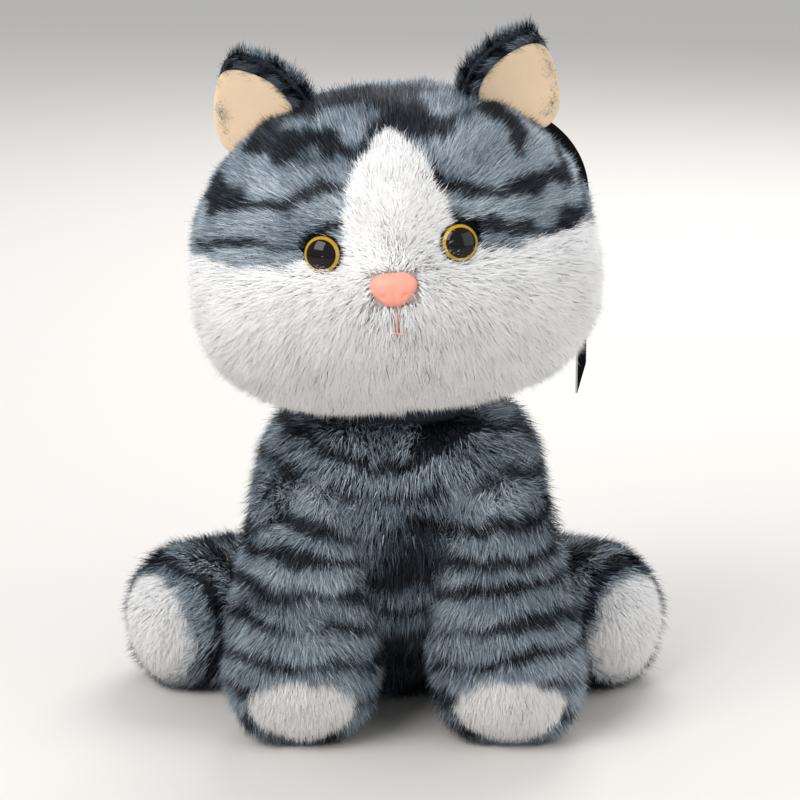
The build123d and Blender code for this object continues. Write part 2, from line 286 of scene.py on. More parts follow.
def stuffed_form(
    name: str, blobs: Sequence[Blob], voxel: float, shape: Field | None = None, floor: float = 1.0 * MM
) -> bpy.types.Object:
    """Model one stuffed cloth skin from lumps that are joined, remeshed and smoothed.

    Args:
        name: the piece's name.
        blobs: the lumps in metres.
        voxel: the remesh cell.
        shape: a last move of every vertex.
        floor: the lowest height the cloth reaches.

    Returns:
        The skin.
    """
    lumps = []
    for blob in blobs:
        bpy.ops.mesh.primitive_ico_sphere_add(subdivisions=5, radius=1.0)
        lump = bpy.context.object
        turn = unit(vertices_of(lump))
        power = np.where(turn[:, 2] < 0, blob.power_low, blob.power)
        reach = (np.abs(turn) ** power[:, None]).sum(1) ** (-1 / power)
        set_vertices(lump, turn * reach[:, None] * np.array(blob.radii) + np.array(blob.centre))
        lumps.append(lump)
    bpy.ops.object.select_all(action="DESELECT")
    for lump in lumps:
        lump.select_set(True)
    bpy.context.view_layer.objects.active = lumps[0]
    if len(lumps) > 1:
        bpy.ops.object.join()
    skin = edit_mesh(name)
    remesh = skin.modifiers.new("Cloth", "REMESH")
    remesh.mode = "VOXEL"
    remesh.voxel_size = voxel
    bpy.ops.object.modifier_apply(modifier=remesh.name)
    ease = skin.modifiers.new("Ease", "SMOOTH")
    ease.iterations = 10
    bpy.ops.object.modifier_apply(modifier=ease.name)
    places = vertices_of(skin)
    if shape:
        places = shape(places)
    places[:, 2] = np.maximum(places[:, 2], floor)
    set_vertices(skin, places)
    bpy.ops.object.shade_smooth()
    return skin


@dataclass
class Coat:
    """One panel of fur: where it grows, how it lies and its shades."""

    name: str
    count: int
    palette: Palette
    region: Field
    comb: Field
    shade: Field
    length: float = 10 * MM
    lean: float = 0.75
    width: float = 0.27 * MM
    tuft: float = 0.26
    stray: float = 0.2
    droop: float = 0.25
    floor: float = 0.3 * MM
    dark_root: float = 0.22
    replaces: tuple[str, ...] = field(default_factory=tuple)
    slot: str = "tabby_fur"

    def grow(self, skin: bpy.types.Object, body: str) -> bpy.types.Object:
        """Grow the strands on a skin and let them ride on a body.

        Args:
            skin: the cloth to grow on.
            body: the CAD body that carries it.

        Returns:
            The fur mesh.
        """
        rng = np.random.default_rng([SEED, sum(map(ord, self.name))])
        roots, normals = self._scatter(skin, rng)
        count = len(roots)
        comb = self.comb(roots)
        comb = comb - normals * (comb * normals).sum(1, keepdims=True)
        comb = comb / np.maximum(np.linalg.norm(comb, axis=1, keepdims=True), 0.35)
        wander = np.stack([ripple(roots, 7 * MM, 1.0 + 2.3 * axis) for axis in range(3)], 1)
        fine = np.stack([ripple(roots, 2.6 * MM, 5.0 + 1.7 * axis) for axis in range(3)], 1)
        lean = self.lean * (1 + 0.3 * ripple(roots, 22 * MM, 4.0))
        start = unit(normals + comb * 0.6 * lean[:, None] + rng.normal(0, self.stray, (count, 3)))
        pull = self.tuft * (wander + 0.7 * fine) + rng.normal(0, self.stray, (count, 3))
        finish = unit(normals + comb * 1.5 * lean[:, None] + pull + np.array((0, 0, -self.droop)))
        long = self.length * rng.uniform(0.72, 1.12, count) * (1 + 0.12 * ripple(roots, 15 * MM, 9.0))
        long = np.where(rng.random(count) < 0.04, long * 1.22, long)
        bend = roots + start * (0.48 * long)[:, None]
        tips = bend + finish * (0.52 * long)[:, None]
        bend[:, 2] = np.maximum(bend[:, 2], self.floor)
        tips[:, 2] = np.maximum(tips[:, 2], self.floor)
        roots = roots - normals * 0.4 * MM
        across = unit(np.cross(finish, normals + rng.normal(0, 0.35, (count, 3))))
        width = (self.width * rng.uniform(0.7, 1.25, count))[:, None] / 2
        half = across * width
        corners = np.stack((roots - half, roots + half, bend + half, bend - half, tips), 1)
        level = np.clip(self.shade(roots) + rng.normal(0, 0.10, count), 0, 1)
        top = len(self.palette.materials()) - 1
        root_level = np.clip(level - self.dark_root, 0, 1)
        tip_level = np.clip(level + rng.uniform(-0.08, 0.24, count), 0, 1)
        return self._mesh(corners, normals, finish, (root_level * top, tip_level * top), body)

    def _scatter(self, skin: bpy.types.Object, rng: np.random.Generator) -> tuple[Array, Array]:
        """Spread the roots evenly over the region of the skin.

        Args:
            skin: the cloth to grow on.
            rng: the source of the draws.

        Returns:
            Roots and the cloth's normals there.
        """
        mesh = skin.data
        mesh.calc_loop_triangles()
        triangles = np.empty(len(mesh.loop_triangles) * 3, np.int32)
        mesh.loop_triangles.foreach_get("vertices", triangles)
        triangles = triangles.reshape(-1, 3)
        places = vertices_of(skin)
        flat = np.empty(len(mesh.vertices) * 3, np.float32)
        mesh.vertex_normals.foreach_get("vector", flat)
        vertex_normals = flat.reshape(-1, 3).astype(float)
        a, b, c = (places[triangles[:, corner]] for corner in range(3))
        area = np.linalg.norm(np.cross(b - a, c - a), axis=1)
        area *= self.region((a + b + c) / 3) > 0
        chosen = rng.choice(len(triangles), self.count, p=area / area.sum())
        u, v = rng.random(self.count), rng.random(self.count)
        flip = u + v > 1
        u[flip], v[flip] = 1 - u[flip], 1 - v[flip]
        weights = np.stack((1 - u - v, u, v), 1)[:, :, None]
        roots = (places[triangles[chosen]] * weights).sum(1)
        normals = unit((vertex_normals[triangles[chosen]] * weights).sum(1))
        keep = rng.random(self.count) < np.clip(self.region(roots), 0, 1)
        return roots[keep], normals[keep]

    def _mesh(
        self, corners: Array, normals: Array, finish: Array, levels: tuple[Array, Array], body: str
    ) -> bpy.types.Object:
        """Make one mesh of all strands, each a root blade and a tip.

        Args:
            corners: five corners for each strand.
            normals: the cloth's normals at the roots.
            finish: the directions of the tips.
            levels: palette steps of the root blades and the tips.
            body: the CAD body that carries it.

        Returns:
            The fur mesh.
        """
        count = len(corners)
        mesh = bpy.data.meshes.new(self.name)
        mesh.vertices.add(5 * count)
        mesh.vertices.foreach_set("co", corners.astype(np.float32).ravel())
        first = np.arange(count, dtype=np.int32)[:, None] * 5
        loops = np.concatenate([first + np.array([[0, 1, 2, 3]]), first + np.array([[3, 2, 4]])], 1)
        mesh.loops.add(7 * count)
        mesh.loops.foreach_set("vertex_index", loops.astype(np.int32).ravel())
        mesh.polygons.add(2 * count)
        starts = (np.arange(count)[:, None] * 7 + np.array([[0, 4]])).astype(np.int32)
        mesh.polygons.foreach_set("loop_start", starts.ravel())
        mesh.update(calc_edges=True)
        for material in self.palette.materials():
            mesh.materials.append(material)
        slots = np.rint(np.stack(levels, 1)).astype(np.int32)
        mesh.polygons.foreach_set("material_index", slots.ravel())
        mesh.polygons.foreach_set("use_smooth", np.ones(2 * count, bool))
        soft = unit(normals + 0.25 * finish)
        mesh.normals_split_custom_set_from_vertices(np.repeat(soft, 5, axis=0).astype(np.float32))
        fur = bpy.data.objects.new(self.name, mesh)
        bpy.context.scene.collection.objects.link(fur)
        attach(fur, body)
        if self.replaces:
            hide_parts(*self.replaces)
        log.info("%s: %d strands", self.name, count)
        return fur


def keep_cloth(
    skin: bpy.types.Object, body: str, finish: Finish, nodes: Sequence[str]
) -> None:
    """Dress a cloth skin and let it stand for the soft CAD nodes it covers.

    Args:
        skin: the cloth.
        body: the CAD body that carries it.
        finish: its material.
        nodes: the CAD nodes it stands for.
    """
    skin.data.materials.clear()
    skin.data.materials.append(finish.material())
    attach(skin, body)
    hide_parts(*nodes)
    log.info("%s: cloth on %s", skin.name, body)


class HeadAxes:
    """The head's own axes: rolled about the line of sight."""

    centre = np.array((-2.5, -38.0, 198.0)) * MM
    roll = math.radians(-5.0)

    def __init__(self) -> None:
        """Work out the three directions from the roll."""
        self.x = np.array((math.cos(self.roll), 0, -math.sin(self.roll)))
        self.y = np.array((0.0, 1.0, 0.0))
        self.z = np.array((math.sin(self.roll), 0, math.cos(self.roll)))

    def inward(self, points: Array) -> Array:
        """Read places in the head's axes.

        Args:
            points: places in the CAD frame.

        Returns:
            The same places from the head's centre, in metres.
        """
        away = points - self.centre
        return np.stack((away @ self.x, away @ self.y, away @ self.z), 1)

    def outward(self, local: Array) -> Array:
        """Turn the head's places into the CAD frame.

        Args:
            local: places from the head's centre.

        Returns:
            Places in the CAD frame.
        """
        return self.centre + local[:, :1] * self.x + local[:, 1:2] * self.y + local[:, 2:] * self.z

    def direction(self, local: Array) -> Array:
        """Turn the head's directions into the CAD frame.

        Args:
            local: rows of directions.

        Returns:
            Directions in the CAD frame.
        """
        return local[:, :1] * self.x + local[:, 1:2] * self.y + local[:, 2:] * self.z


@dataclass
class Head:
    """The head: cloth, six fur panels, eyes, nose and mouth."""

    axes: HeadAxes = field(default_factory=HeadAxes)
    radii: tuple[float, float, float] = (72 * MM, 54 * MM, 56 * MM)
    cad_radii: tuple[float, float, float] = (78 * MM, 60 * MM, 62 * MM)
    muzzle_bulge: float = 6 * MM
    cheek_bulge: float = 5 * MM
    blaze_half: float = 16 * MM
    blaze_top: float = 45 * MM
    blaze_foot: float = 10 * MM
    ear_seam: float = 8 * MM
    eye_radius: float = 7.6 * MM

    def build(self) -> bpy.types.Object:
        """Model the head's cloth.

        Returns:
            The skin.
        """
        blob = Blob((0, 0, 0), self.radii, 2.35, 2.9)
        return stuffed_form("head_cloth", (blob,), 3 * MM, self._face)

    def _face(self, points: Array) -> Array:
        """Press the muzzle, cheeks and eye sockets into the ball, and narrow the crown.

        Args:
            points: places from the head's centre.

        Returns:
            Shaped places in the CAD frame.
        """
        x, y, z = points.T
        front = smooth_step(0, 40 * MM, -y)
        muzzle = np.exp(-((x / (34 * MM)) ** 2) - ((z + 16 * MM) / (20 * MM)) ** 2) * front
        cheek = np.exp(-(((np.abs(x) - 50 * MM) / (26 * MM)) ** 2) - ((z + 22 * MM) / (24 * MM)) ** 2)
        cheek *= smooth_step(-10 * MM, 30 * MM, -y)
        socket = np.exp(-(((np.abs(x) - 25 * MM) / (11 * MM)) ** 2) - ((z - 9 * MM) / (10 * MM)) ** 2)
        socket *= front
        shaped = points.copy()
        shaped[:, 0] *= 1 - 0.10 * smooth_step(2 * MM, 54 * MM, z)
        shaped[:, 1] -= self.muzzle_bulge * muzzle + 0.6 * self.cheek_bulge * cheek - 3.0 * MM * socket
        shaped[:, 0] += np.sign(x) * self.cheek_bulge * cheek
        return self.axes.outward(shaped)

    def white(self, local: Array) -> Array:
        """Say how white the face is at each place.

        Args:
            local: places in the head's axes.

        Returns:
            Above 0 inside the white parts, in metres from their edge.
        """
        return np.maximum(self.muzzle_edge(local), self.blaze_edge(local))

    def muzzle_edge(self, local: Array) -> Array:
        """Distance inside the white muzzle's upper edge.

        Args:
            local: places in the head's axes.

        Returns:
            Metres, above 0 inside.
        """
        x, y, z = local.T
        wobble = 1.4 * MM * ripple(local, 12 * MM, 2.0)
        side = np.abs(x)
        middle_rise = 9 * MM * np.exp(-((side / (18 * MM)) ** 2))
        edge = 3 * MM + middle_rise + 3 * MM * smooth_step(34 * MM, 74 * MM, side)
        return np.where(y < self.ear_seam, edge + wobble - z, -1.0)

    def blaze_edge(self, local: Array) -> Array:
        """Distance inside the white blaze.

        Args:
            local: places in the head's axes.

        Returns:
            Metres, above 0 inside.
        """
        x, y, z = local.T
        rise = np.clip((z - self.blaze_foot) / (self.blaze_top - self.blaze_foot), 0, 1)
        half = self.blaze_half * (1 - rise**2.6) ** 0.8 * (1 + 0.08 * np.sin(3.1 * rise))
        wobble = 1.2 * MM * ripple(local, 10 * MM, 7.0)
        inside = half - np.abs(x - 2.0 * MM) + wobble
        return np.where((y < 0) & (z > self.blaze_foot - 4 * MM) & (z < self.blaze_top), inside, -1.0)

    def clear_of_eyes(self, local: Array) -> Array:
        """Leave the eyes and nose free of fur roots.

        Args:
            local: places in the head's axes.

        Returns:
            1 where fur grows, 0 under a moulded piece.
        """
        x, y, z = local.T
        eye = np.hypot(np.abs(x) - 25.2 * MM, z - 10.2 * MM) < self.eye_radius * 0.93
        nose = (np.abs(x) < 7.2 * MM) & (np.abs(z + 5 * MM) < 5.0 * MM)
        mouth = (np.abs(x) < 1.0 * MM) & (z < -11 * MM) & (z > -20 * MM)
        neck = np.hypot(x, y - 6 * MM) < np.where(z < -40 * MM, 30 * MM, 0)
        return 1.0 - ((eye | nose | mouth) & (y < 0)) - neck * 0.999

    def comb(self, points: Array) -> Array:
        """The way the head's fur lies: away from the nose.

        Args:
            points: places in the CAD frame.

        Returns:
            Directions in the CAD frame.
        """
        local = self.axes.inward(points)
        away = local - np.array((0, -70 * MM, 0 * MM))
        away = unit(away)
        away[:, 2] -= 0.35 * (local[:, 2] < 0)
        away[:, 1] += 0.3
        return self.axes.direction(away)

    def tabby_shade(self, points: Array) -> Array:
        """Shade of the grey parts with their dark swept stripes.

        Args:
            points: places in the CAD frame.

        Returns:
            Levels from 0, black, to 1, pale.
        """
        local = self.axes.inward(points)
        x, y, z = local.T
        side = np.abs(x)
        wobble = 4 * MM * ripple(local, 34 * MM, 3.0) + 1.5 * MM * ripple(local, 11 * MM, 8.0)
        arch = z + 0.30 * np.maximum(side - 16 * MM, 0) - 0.35 * y + wobble
        pulse = np.cos(2 * math.pi * arch / (11.5 * MM))
        broken = ripple(local, 40 * MM, 6.0)
        stripe = smooth_step(0.05, 0.8, pulse + 0.55 * broken)
        crown = smooth_step(44 * MM, 60 * MM, z) * 0.35
        level = 0.66 + 0.12 * ripple(local, 25 * MM, 1.5) - 0.56 * np.maximum(stripe, crown)
        return level

    def white_shade(self, points: Array) -> Array:
        """Shade of the white parts.

        Args:
            points: places in the CAD frame.

        Returns:
            Levels from 0 to 1.
        """
        return np.full(len(points), 0.8)

    def coats(self) -> list[Coat]:
        """List the head's fur panels.

        Returns:
            The coats.
        """
        def read(test: Callable[[Array], Array]) -> Field:
            """Let a test in the head's axes read CAD places, clear of the set-in pieces."""
            def field_at(points: Array) -> Array:
                """The test at CAD places, 0 under an eye, the nose or the mouth."""
                local = self.axes.inward(points)
                return test(local) * self.clear_of_eyes(local)

            return field_at

        def behind(hand: float) -> Field:
            """One half of the back of the head."""
            return read(lambda p: ((p[:, 1] >= self.ear_seam) & (hand * p[:, 0] >= 0)).astype(float))

        def cheek(hand: float) -> Field:
            """One half of the white muzzle."""
            return read(lambda p: ((self.muzzle_edge(p) > 0) & (hand * p[:, 0] >= 0)).astype(float))

        def brow(hand: float) -> Field:
            """One half of the tabby forehead."""
            def inside(p: Array) -> Array:
                """Tabby, in front of the ear seam."""
                front_half = (p[:, 1] < self.ear_seam) & (hand * p[:, 0] >= 0)
                return (front_half & (self.white(p) <= 0)).astype(float)

            return read(inside)

        white = dict(palette=WHITE, comb=self.comb, shade=self.white_shade, slot="white_fur", dark_root=0.3,
                     tuft=0.12, lean=0.6, stray=0.26)
        tabby = dict(palette=TABBY, comb=self.comb, shade=self.tabby_shade)
        made = [
            Coat("blaze_fur", 20000, length=9 * MM, replaces=("blaze_panel",), **white,
                 region=read(lambda p: 1.0 * ((self.blaze_edge(p) > 0) & (self.muzzle_edge(p) <= 0)))),
        ]
        for side, hand in SIDES:
            made.append(Coat(f"muzzle_fur_{side}", 58000, region=cheek(hand), length=9.5 * MM,
                             replaces=("muzzle_panel",), **white))
            made.append(Coat(f"forehead_fur_{side}", 44000, region=brow(hand), length=9.5 * MM,
                             replaces=(f"forehead_panel_{side}",), **tabby))
            made.append(Coat(f"head_back_fur_{side}", 24000, region=behind(hand), length=10 * MM,
                             width=0.42 * MM, replaces=(f"head_back_panel_{side}",), **tabby))
        return made

    def dress(self, skin: bpy.types.Object) -> None:
        """Grow the fur and set in the eyes, nose and mouth.

        Args:
            skin: the head's cloth.
        """
        keep_cloth(skin, "head", TABBY_CLOTH_AND_SHADE, ("head_stuffing",))
        skin.data.materials.append(WHITE_CLOTH.material())
        for polygon in skin.data.polygons:
            local = self.axes.inward(np.array(polygon.center)[None])
            polygon.material_index = int(self.white(local)[0] > 0)
        for coat in self.coats():
            coat.grow(skin, "head")
        for side, _ in SIDES:
            self.set_eye(side)
            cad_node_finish(f"eye_washer_{side}", WASHER)
        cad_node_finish("nose_washer", WASHER)
        self.set_nose()
        self.stitch_mouth()

    def front_plane(self, node: str) -> tuple[Vector, Vector]:
        """Find where a set-in piece sits and which way it faces.

        Args:
            node: the CAD node.

        Returns:
            Its seat on the cloth and its outward direction.
        """
        low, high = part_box(node)
        middle = (low + high) / 2
        local = self.axes.inward(np.array(middle)[None])[0]
        across, deep, tall = self.cad_radii
        local[1] = -deep * math.sqrt(1 - (local[0] / across) ** 2 - (local[2] / tall) ** 2)
        slope = np.array((local[0] / across**2, local[1] / deep**2, local[2] / tall**2))
        outward = self.axes.direction(slope[None])[0]
        seat = self.axes.outward(local[None])[0]
        return Vector(seat), Vector(outward).normalized()

    def set_eye(self, side: str) -> None:
        """Model one domed safety eye with its yellow ring.

        Args:
            side: left or right.
        """
        seat, outward = self.front_plane(f"eye_{side}")
        bpy.ops.mesh.primitive_uv_sphere_add(segments=64, ring_count=48, radius=1.0)
        eye = edit_mesh(f"eye_dome_{side}")
        places = vertices_of(eye)
        places[:, 2] = np.where(places[:, 2] > 0, places[:, 2] * 0.62, places[:, 2] * 0.25)
        turn = outward.to_track_quat("Z", "Y").to_matrix()
        sunk_seat = np.array(seat) - 0.5 * MM * np.array(outward)
        set_vertices(eye, places * self.eye_radius @ np.array(turn).T + sunk_seat)
        for finish in (PUPIL, IRIS):
            eye.data.materials.append(finish.material())
        for polygon in eye.data.polygons:
            away = Vector(polygon.center) - seat
            flat = (away - outward * away.dot(outward)).length / self.eye_radius
            polygon.material_index = int(0.75 < flat < 0.90 and away.dot(outward) > 0)
        bpy.ops.object.shade_smooth()
        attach(eye, "head")
        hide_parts(f"eye_{side}")

    def set_nose(self) -> None:
        """Model the moulded nose: a soft triangle with a groove and two nostrils."""
        seat, outward = self.front_plane("nose")
        bpy.ops.mesh.primitive_uv_sphere_add(segments=72, ring_count=48, radius=1.0)
        nose = edit_mesh("nose_moulding")
        x, y, z = vertices_of(nose).T
        x = np.sign(x) * np.abs(x) ** 0.85
        wide = 0.68 + 0.32 * smooth_step(-1.0, 0.5, z)
        groove = 0.16 * np.exp(-((x / 0.10) ** 2)) * smooth_step(0.5, -0.2, z)
        nostril = 0.24 * np.exp(-(((np.abs(x) - 0.50) / 0.13) ** 2) - ((z + 0.30) / 0.16) ** 2)
        dip = 0.10 * np.exp(-((x / 0.3) ** 2)) * smooth_step(0.3, 1.0, z)
        shaped = np.stack((x * wide * 9.6, y * 4.6 * (1 - groove - nostril), (z - dip) * 6.8), 1) * MM
        set_vertices(nose, self.axes.direction(shaped) + np.array(seat) - 1.2 * MM * self.axes.y)
        nose.data.materials.append(NOSE.material())
        bpy.ops.object.shade_smooth()
        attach(nose, "head")
        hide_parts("nose")

    def stitch_mouth(self) -> None:
        """Lay the embroidered mouth: a short line and one side stitch."""
        low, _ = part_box("mouth_stitch")
        out = low.y - 4.6 * MM
        down = [(-0.2, 0.0, 8.2), (0.0, -0.4, 5.5), (0.1, 0.2, 2.8), (0.2, 0.6, 0.6)]
        side = [(-1.2, 0.6, 0.4), (1.0, 0.4, 0.0), (3.2, 0.6, 0.5)]
        pieces = []
        for run in (down, side):
            line = bpy.data.curves.new("mouth_thread", "CURVE")
            line.dimensions = "3D"
            line.bevel_depth = 0.45 * MM
            line.use_fill_caps = True
            spline = line.splines.new("POLY")
            spline.points.add(len(run) - 1)
            for point, (x, y, z) in zip(spline.points, run):
                point.co = ((low.x + 0.6 * MM) + x * MM, out + y * MM, low.z + z * MM, 1)
            thread = bpy.data.objects.new("mouth_thread", line)
            bpy.context.scene.collection.objects.link(thread)
            pieces.append(thread)
        bpy.ops.object.select_all(action="DESELECT")
        for thread in pieces:
            thread.select_set(True)
        bpy.context.view_layer.objects.active = pieces[0]
        bpy.ops.object.convert(target="MESH")
        bpy.ops.object.join()
        mouth = edit_mesh("mouth_thread")
        mouth.data.materials.append(PINK_THREAD.material())
        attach(mouth, "head")
        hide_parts("mouth_stitch")


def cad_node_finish(node: str, finish: Finish) -> None:
    """Give a carried-over CAD node its material.

    Args:
        node: the CAD node.
        finish: its finish.
    """
    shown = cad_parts[node]
    shown.data.materials.clear()
    shown.data.materials.append(finish.material())


@dataclass
class Torso:
    """The torso: cloth and three fur panels, with the seams drawn as dark lines."""

    chest: Blob = Blob((0, -22 * MM, 84 * MM), (53 * MM, 42 * MM, 48 * MM), 2.9, 2.4)
    waist: Blob = Blob((0, 2 * MM, 62 * MM), (56 * MM, 44 * MM, 48 * MM), 2.3, 2.3)
    hips: Blob = Blob((0, 24 * MM, 50 * MM), (58 * MM, 53 * MM, 49 * MM), 2.2, 2.6)
    seam_lean: float = math.radians(20)
    seam_y: float = 6 * MM
    seam_z: float = 60 * MM

    def build(self) -> bpy.types.Object:
        """Model the torso's cloth.

        Returns:
            The skin.
        """
        return stuffed_form("torso_cloth", (self.chest, self.waist, self.hips), 3 * MM, floor=0.6 * MM)

    def seam(self, points: Array) -> Array:
        """Distance behind the side seams.

        Args:
            points: places in the CAD frame.

        Returns:
            Metres, above 0 on the back panels.
        """
        behind = (points[:, 1] - self.seam_y) * math.cos(self.seam_lean)
        return behind + (points[:, 2] - self.seam_z) * math.sin(self.seam_lean)

    def comb(self, points: Array) -> Array:
        """The torso's fur lies down and outward.

        Args:
            points: places in the CAD frame.

        Returns:
            Directions.
        """
        down = np.tile((0.0, 0.0, -1.0), (len(points), 1))
        down[:, 0] += 0.45 * np.sign(points[:, 0]) * smooth_step(0, 40 * MM, np.abs(points[:, 0]))
        down += 0.35 * np.stack([ripple(points, 38 * MM, 2.0 + axis) for axis in range(3)], 1)
        return down

    def shade(self, points: Array) -> Array:
        """Wavy cross stripes, a dark chest patch and dark seam lines.

        Args:
            points: places in the CAD frame.

        Returns:
            Levels from 0 to 1.
        """
        x, y, z = points.T
        wobble = 7 * MM * ripple(points, 55 * MM, 4.0) + 2.5 * MM * ripple(points, 16 * MM, 5.0)
        pulse = np.cos(2 * math.pi * (z - 0.10 * np.abs(x) + wobble) / (15 * MM))
        stripe = smooth_step(0.25, 0.85, pulse + 0.75 * ripple(points, 45 * MM, 9.0))
        patch = np.exp(-(((x - 6 * MM) / (20 * MM)) ** 2) - ((z - 82 * MM) / (15 * MM)) ** 2) * (y < 0)
        low = smooth_step(62 * MM, 40 * MM, z) * (y < 0) * 0.8
        seam = np.exp(-((self.seam(points) / (3.2 * MM)) ** 2))
        level = 0.62 + 0.12 * ripple(points, 28 * MM, 3.0)
        return level - 0.52 * np.clip(np.maximum.reduce((stripe, patch * 1.1, low, seam)), 0, 1)

    def dress(self, skin: bpy.types.Object) -> None:
        """Grow the torso's fur and finish its thread and label.

        Args:
            skin: the torso's cloth.
        """
        keep_cloth(skin, "torso", TABBY_CLOTH_AND_SHADE, ("torso_stuffing", "seat_panel"))
        front = Coat(
            "chest_fur", 58000, TABBY, lambda p: ((self.seam(p) < 0) & (p[:, 2] > 8 * MM)).astype(float),
            self.comb, self.shade, length=11 * MM, tuft=0.36, replaces=("chest_panel",),
        )
        front.grow(skin, "torso")
        for side, hand in SIDES:
            def half(p: Array, hand: float = hand) -> Array:
                """One half of the back, clear of the seat."""
                behind = (self.seam(p) >= 0) & (hand * p[:, 0] >= 0)
                return (behind & (p[:, 2] > 4 * MM)).astype(float)

            back = Coat(
                f"back_fur_{side}", 30000, TABBY, half,
                self.comb, self.shade, length=11.5 * MM, width=0.42 * MM, tuft=0.45,
                replaces=(f"back_panel_{side}",),
            )
            back.grow(skin, "torso")
        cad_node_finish("closing_stitches", GREY_THREAD)
        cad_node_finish("care_label", SATIN)


@dataclass
class Limb:
    """A stuffed leg: cloth, two tabby fur panels and a white end patch."""

    name: str
    body: str
    joint: tuple[float, float, float]
    end: tuple[float, float, float]
    joint_radius: float
    end_radius: float
    patch_way: tuple[float, float, float]
    patch_half: float
    patch_flat: float
    panels: tuple[str, str]
    patch_node: str
    stuffing: str
    counts: tuple[int, int, int]
    arch: float = 0.014 / MM
    stripe: float = 13 * MM
    cloth_inset: float = 5.5 * MM

    def build(self) -> bpy.types.Object:
        """Model the leg's cloth from overlapping lumps along its length.

        Returns:
            The skin.
        """
        joint, end = np.array(self.joint), np.array(self.end)
        lumps = []
        for share in np.linspace(0, 1, 5):
            radius = self.joint_radius + (self.end_radius - self.joint_radius) * share - self.cloth_inset
            lumps.append(Blob(tuple(joint + (end - joint) * share), (radius, radius, radius), 2.1, 2.2))
        return stuffed_form(f"{self.name}_cloth", lumps, 2.6 * MM, floor=0.6 * MM)

    def patch(self, points: Array) -> Array:
        """Distance inside the white end patch.

        Args:
            points: places in the CAD frame.

        Returns:
            Above 0 inside.
        """
        way = unit(np.array(self.patch_way)[None])[0]
        away = points - np.array(self.end)
        along = away @ way
        flat = away - along[:, None] * way
        side = unit(np.cross(way, (0, 0, 1))[None])[0]
        up = np.cross(side, way)
        shape = np.hypot(flat @ side / self.patch_half, flat @ up / self.patch_flat)
        return np.where(along > 0, 1 - shape + 0.05 * ripple(points, 9 * MM, 1.0), -1.0)

    def comb(self, points: Array) -> Array:
        """Fur lies along the leg towards its end.

        Args:
            points: places in the CAD frame.

        Returns:
            Directions.
        """
        along = unit((np.array(self.end) - np.array(self.joint))[None])
        wander = np.stack([ripple(points, 30 * MM, 6.0 + axis) for axis in range(3)], 1)
        flow = np.repeat(along, len(points), 0) + 0.45 * wander
        outward = unit(points - np.array(self.end))
        return flow * 0.7 + outward * 0.5

    def shade(self, points: Array) -> Array:
        """Arched stripes across the leg.

        Args:
            points: places in the CAD frame.

        Returns:
            Levels from 0 to 1.
        """
        along = unit((np.array(self.end) - np.array(self.joint))[None])[0]
        away = points - np.array(self.joint)
        run = away @ along
        side = points[:, 0] - (self.joint[0] + self.end[0]) / 2
        wobble = 3.5 * MM * ripple(points, 38 * MM, 2.5) + 1.6 * MM * ripple(points, 12 * MM, 7.5)
        pulse = np.cos(2 * math.pi * (run + self.arch * side**2 * MM + wobble) / self.stripe)
        stripe = smooth_step(0.15, 0.85, pulse + 0.6 * ripple(points, 36 * MM, 8.5))
        return 0.66 + 0.12 * ripple(points, 24 * MM, 5.5) - 0.54 * stripe

    def dress(self, skin: bpy.types.Object) -> None:
        """Grow the leg's fur.

        Args:
            skin: the leg's cloth.
        """
        keep_cloth(skin, self.body, TABBY_CLOTH_AND_SHADE, (self.stuffing,))
        skin.data.materials.append(WHITE_CLOTH.material())
        for polygon in skin.data.polygons:
            polygon.material_index = int(self.patch(np.array(polygon.center)[None])[0] > 0)
        upper = self.body.startswith("hind")

        def half(points: Array, sign: float) -> Array:
            """One tabby panel of the leg, clear of the patch and the floor."""
            split = points[:, 2] - self.end[2] if upper else self.end[1] - points[:, 1]
            tabby = (sign * split >= 0) & (self.patch(points) <= 0)
            return (tabby & (points[:, 2] > 1.2 * MM)).astype(float)

        for panel, sign, count in zip(self.panels, (1.0, -1.0), self.counts):
            coat = Coat(
                panel.replace("_panel", "_fur"), count, TABBY, lambda p, sign=sign: half(p, sign),
                self.comb, self.shade, length=10.5 * MM, tuft=0.3, replaces=(panel,),
            )
            coat.grow(skin, self.body)
        white = Coat(
            self.patch_node.replace("_patch", "_fur"), self.counts[2], WHITE,
            lambda p: ((self.patch(p) > 0) & (p[:, 2] > 1.2 * MM)).astype(float),
            lambda p: np.tile((0.0, 0.25, -1.0), (len(p), 1)), lambda p: np.full(len(p), 0.85),
            length=7.5 * MM, lean=0.8, tuft=0.14, droop=0.1, dark_root=0.3,
            replaces=(self.patch_node,), slot="white_fur",
        )
        white.grow(skin, self.body)


